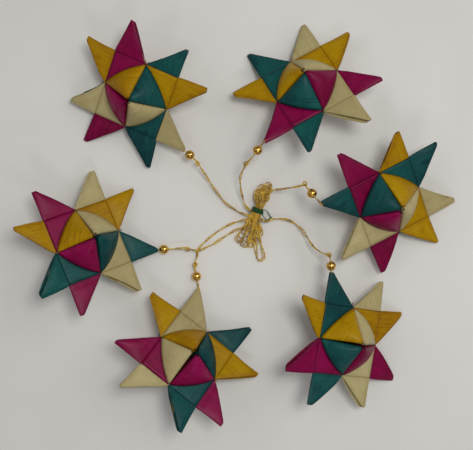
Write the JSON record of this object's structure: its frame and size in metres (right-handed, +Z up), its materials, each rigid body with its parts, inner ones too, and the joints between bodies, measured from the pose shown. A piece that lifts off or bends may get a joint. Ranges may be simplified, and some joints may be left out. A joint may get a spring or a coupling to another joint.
{
  "type": "set of woven star ornaments",
  "caption": "Woven palm-leaf stars in four colours, each hung on a doubled gold thread with a bead, tied together in one bundle of hanging loops.",
  "frame": {"origin": "on the table, under the middle of the box round the six stars", "axes": "+Z up off the table, +X along the longer side of the laid-out set, which is its right in the picture, and +Y away from the viewer, the top of the picture"},
  "size_m": [0.1812, 0.1678, 0.0278],
  "materials": {
    "palm_leaf_magenta": "satin",
    "palm_leaf_teal": "satin",
    "palm_leaf_mustard": "satin",
    "palm_leaf_natural": "satin",
    "gold_bead": "polished",
    "gold_thread": "metallic",
    "green_tie": "matte"
  },
  "bodies": {
    "bundle": {"thread_bundle": "gold_thread", "bundle_tie": "green_tie"},
    "thread_1": {"star1_thread": "gold_thread"},
    "bead_1": {"star1_bead": "gold_bead"},
    "star_1": {"star1_magenta_strip": "palm_leaf_magenta", "star1_mustard_strip": "palm_leaf_mustard", "star1_teal_strip": "palm_leaf_teal", "star1_natural_strip": "palm_leaf_natural"},
    "thread_2": {"star2_thread": "gold_thread"},
    "bead_2": {"star2_bead": "gold_bead"},
    "star_2": {"star2_mustard_strip": "palm_leaf_mustard", "star2_natural_strip": "palm_leaf_natural", "star2_magenta_strip": "palm_leaf_magenta", "star2_teal_strip": "palm_leaf_teal"},
    "thread_3": {"star3_thread": "gold_thread"},
    "bead_3": {"star3_bead": "gold_bead"},
    "star_3": {"star3_mustard_strip": "palm_leaf_mustard", "star3_natural_strip": "palm_leaf_natural", "star3_teal_strip": "palm_leaf_teal", "star3_magenta_strip": "palm_leaf_magenta"},
    "thread_4": {"star4_thread": "gold_thread"},
    "bead_4": {"star4_bead": "gold_bead"},
    "star_4": {"star4_teal_strip": "palm_leaf_teal", "star4_mustard_strip": "palm_leaf_mustard", "star4_natural_strip": "palm_leaf_natural", "star4_magenta_strip": "palm_leaf_magenta"},
    "thread_5": {"star5_thread": "gold_thread"},
    "bead_5": {"star5_bead": "gold_bead"},
    "star_5": {"star5_natural_strip": "palm_leaf_natural", "star5_mustard_strip": "palm_leaf_mustard", "star5_teal_strip": "palm_leaf_teal", "star5_magenta_strip": "palm_leaf_magenta"},
    "thread_6": {"star6_thread": "gold_thread"},
    "bead_6": {"star6_bead": "gold_bead"},
    "star_6": {"star6_teal_strip": "palm_leaf_teal", "star6_mustard_strip": "palm_leaf_mustard", "star6_natural_strip": "palm_leaf_natural", "star6_magenta_strip": "palm_leaf_magenta"}
  },
  "joints": [
    {"name": "thread_1_swing", "type": "hinge", "parent": "bundle", "child": "thread_1", "pos_m": [0.0031, 0.0033, 0.0026], "axis": [0, 0, 1], "range_deg": [-6, 6]},
    {"name": "star_1_turn", "type": "hinge", "parent": "thread_1", "child": "star_1", "pos_m": [-0.02231, 0.02949, 0.00829], "axis": [0, 0, 1], "range_deg": [-12, 12]},
    {"name": "bead_1_slide", "type": "slide", "parent": "thread_1", "child": "bead_1", "axis": [0.7055, -0.6402, -0.3039], "range_m": [-0.0002, 0.001]},
    {"name": "thread_2_swing", "type": "hinge", "parent": "bundle", "child": "thread_2", "pos_m": [0.0036, 0.0059, 0.0029], "axis": [0, 0, 1], "range_deg": [-6, 6]},
    {"name": "star_2_turn", "type": "hinge", "parent": "thread_2", "child": "star_2", "pos_m": [0.00948, 0.03204, 0.01983], "axis": [0, 0, 1], "range_deg": [-12, 12]},
    {"name": "bead_2_slide", "type": "slide", "parent": "thread_2", "child": "bead_2", "axis": [-0.5542, -0.6927, -0.4615], "range_m": [-0.0018, 0.004]},
    {"name": "thread_3_swing", "type": "hinge", "parent": "bundle", "child": "thread_3", "pos_m": [0.0009, -0.0024, 0.0018], "axis": [0, 0, 1], "range_deg": [-6, 3]},
    {"name": "star_3_turn", "type": "hinge", "parent": "thread_3", "child": "star_3", "pos_m": [-0.03414, -0.01153, 0.00171], "axis": [0, 0, 1], "range_deg": [-12, 8]},
    {"name": "bead_3_slide", "type": "slide", "parent": "thread_3", "child": "bead_3", "axis": [0.9879, 0.0612, 0.1424], "range_m": [-0.0001, 0.006]},
    {"name": "thread_4_swing", "type": "hinge", "parent": "bundle", "child": "thread_4", "pos_m": [0.0136, 0.0132, 0.0042], "axis": [0, 0, 1], "range_deg": [-2, 6]},
    {"name": "star_4_turn", "type": "hinge", "parent": "thread_4", "child": "star_4", "pos_m": [0.03229, 0.00774, 0.02243], "axis": [0, 0, 1], "range_deg": [-8, 12]},
    {"name": "bead_4_slide", "type": "slide", "parent": "thread_4", "child": "bead_4", "axis": [-0.4717, 0.6208, -0.6262], "range_m": [-0.004, 0.002]},
    {"name": "thread_5_swing", "type": "hinge", "parent": "bundle", "child": "thread_5", "pos_m": [0.0023, 0.0011, 0.0026], "axis": [0, 0, 1], "range_deg": [-3, 4]},
    {"name": "star_5_turn", "type": "hinge", "parent": "thread_5", "child": "star_5", "pos_m": [-0.01726, -0.02773, 0.00194], "axis": [0, 0, 1], "range_deg": [-8, 12]},
    {"name": "bead_5_slide", "type": "slide", "parent": "thread_5", "child": "bead_5", "axis": [-0.1845, 0.981, 0.0594], "range_m": [-0.0028, 0.001]},
    {"name": "thread_6_swing", "type": "hinge", "parent": "bundle", "child": "thread_6", "pos_m": [0.0105, 0.0005, 0.0024], "axis": [0, 0, 1], "range_deg": [-6, 2]},
    {"name": "star_6_turn", "type": "hinge", "parent": "thread_6", "child": "star_6", "pos_m": [0.03711, -0.01954, 0.01941], "axis": [0, 0, 1], "range_deg": [-12, 8]},
    {"name": "bead_6_slide", "type": "slide", "parent": "thread_6", "child": "bead_6", "axis": [0.02, 0.5687, -0.8223], "range_m": [-0.001, 0.003]}
  ]
}
